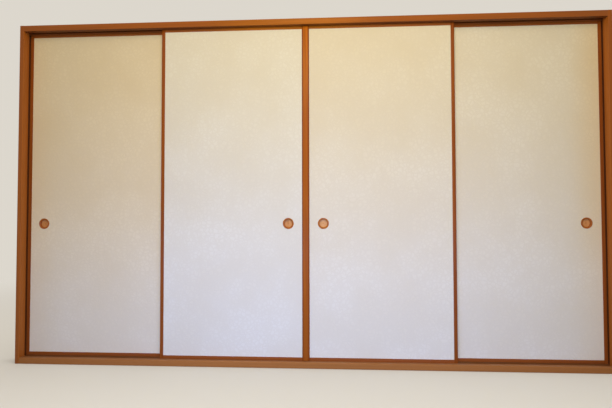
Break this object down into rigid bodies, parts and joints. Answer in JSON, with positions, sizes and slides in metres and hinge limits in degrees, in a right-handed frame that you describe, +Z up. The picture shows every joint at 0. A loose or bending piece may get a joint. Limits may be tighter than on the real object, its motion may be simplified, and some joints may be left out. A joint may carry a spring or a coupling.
{
  "type": "fusuma sliding door set",
  "caption": "Paper-covered sliding door leaves with round finger pulls, in a stained timber frame with grooved head rail and sill.",
  "frame": {"origin": "under the middle of the sill, at the bottom centre of the whole frame", "axes": "+X along the frame to the right as seen from the room, +Y from the room into the closet, +Z up"},
  "size_m": [3.535, 0.105, 2.072],
  "materials": {
    "frame_wood": "orange-brown stained and varnished, satin",
    "sill_wood": "orange-brown stained, worn satin",
    "edge_wood": "red-brown stained and lacquered, satin",
    "cover_wood": "orange-brown stained and lacquered, satin",
    "core_wood": "bare planed softwood",
    "front_paper": "ivory, faint tone-on-tone mottle, matte",
    "back_paper": "plain pale lining paper, matte",
    "pull_rim_wood": "brown turned wood, satin",
    "pull_dish_wood": "light tan turned wood, satin",
    "nail_steel": "plain forged, dull",
    "glide_nylon": "milky nylon"
  },
  "bodies": {
    "frame": {"head_rail": "frame_wood", "sill": "sill_wood", "left_jamb": "frame_wood", "right_jamb": "frame_wood", "frame_nails": "nail_steel"},
    "outer_left_leaf": {"outer_left_core_frame": "core_wood", "outer_left_core_lattice": "core_wood", "outer_left_handle_board": "core_wood", "outer_left_front_paper": "front_paper", "outer_left_back_paper": "back_paper", "outer_left_pull_stile": "edge_wood", "outer_left_lap_stile": "edge_wood", "outer_left_top_rail": "edge_wood", "outer_left_bottom_rail": "edge_wood", "outer_left_handle_cup": "pull_dish_wood", "outer_left_handle_rim": "pull_rim_wood", "outer_left_fixings": "nail_steel", "outer_left_glides": "glide_nylon"},
    "inner_left_leaf": {"inner_left_core_frame": "core_wood", "inner_left_core_lattice": "core_wood", "inner_left_handle_board": "core_wood", "inner_left_front_paper": "front_paper", "inner_left_back_paper": "back_paper", "inner_left_pull_stile": "edge_wood", "inner_left_lap_stile": "edge_wood", "inner_left_top_rail": "edge_wood", "inner_left_bottom_rail": "edge_wood", "inner_left_handle_cup": "pull_dish_wood", "inner_left_handle_rim": "pull_rim_wood", "inner_left_fixings": "nail_steel", "inner_left_glides": "glide_nylon"},
    "inner_right_leaf": {"inner_right_core_frame": "core_wood", "inner_right_core_lattice": "core_wood", "inner_right_handle_board": "core_wood", "inner_right_front_paper": "front_paper", "inner_right_back_paper": "back_paper", "inner_right_pull_stile": "edge_wood", "inner_right_lap_stile": "edge_wood", "inner_right_top_rail": "edge_wood", "inner_right_bottom_rail": "edge_wood", "inner_right_handle_cup": "pull_dish_wood", "inner_right_handle_rim": "pull_rim_wood", "inner_right_fixings": "nail_steel", "inner_right_glides": "glide_nylon", "meeting_cover": "cover_wood", "cover_pegs": "core_wood"},
    "outer_right_leaf": {"outer_right_core_frame": "core_wood", "outer_right_core_lattice": "core_wood", "outer_right_handle_board": "core_wood", "outer_right_front_paper": "front_paper", "outer_right_back_paper": "back_paper", "outer_right_pull_stile": "edge_wood", "outer_right_lap_stile": "edge_wood", "outer_right_top_rail": "edge_wood", "outer_right_bottom_rail": "edge_wood", "outer_right_handle_cup": "pull_dish_wood", "outer_right_handle_rim": "pull_rim_wood", "outer_right_fixings": "nail_steel", "outer_right_glides": "glide_nylon"}
  },
  "joints": [
    {"name": "outer_left_slide", "type": "slide", "parent": "frame", "child": "outer_left_leaf", "axis": [1, 0, 0], "range_m": [-0.005, 0.85938]},
    {"name": "inner_left_slide", "type": "slide", "parent": "frame", "child": "inner_left_leaf", "axis": [1, 0, 0], "range_m": [-0.85938, 0]},
    {"name": "inner_right_slide", "type": "slide", "parent": "frame", "child": "inner_right_leaf", "axis": [1, 0, 0], "range_m": [0, 0.85938]},
    {"name": "outer_right_slide", "type": "slide", "parent": "frame", "child": "outer_right_leaf", "axis": [1, 0, 0], "range_m": [-0.85938, 0.005]}
  ]
}
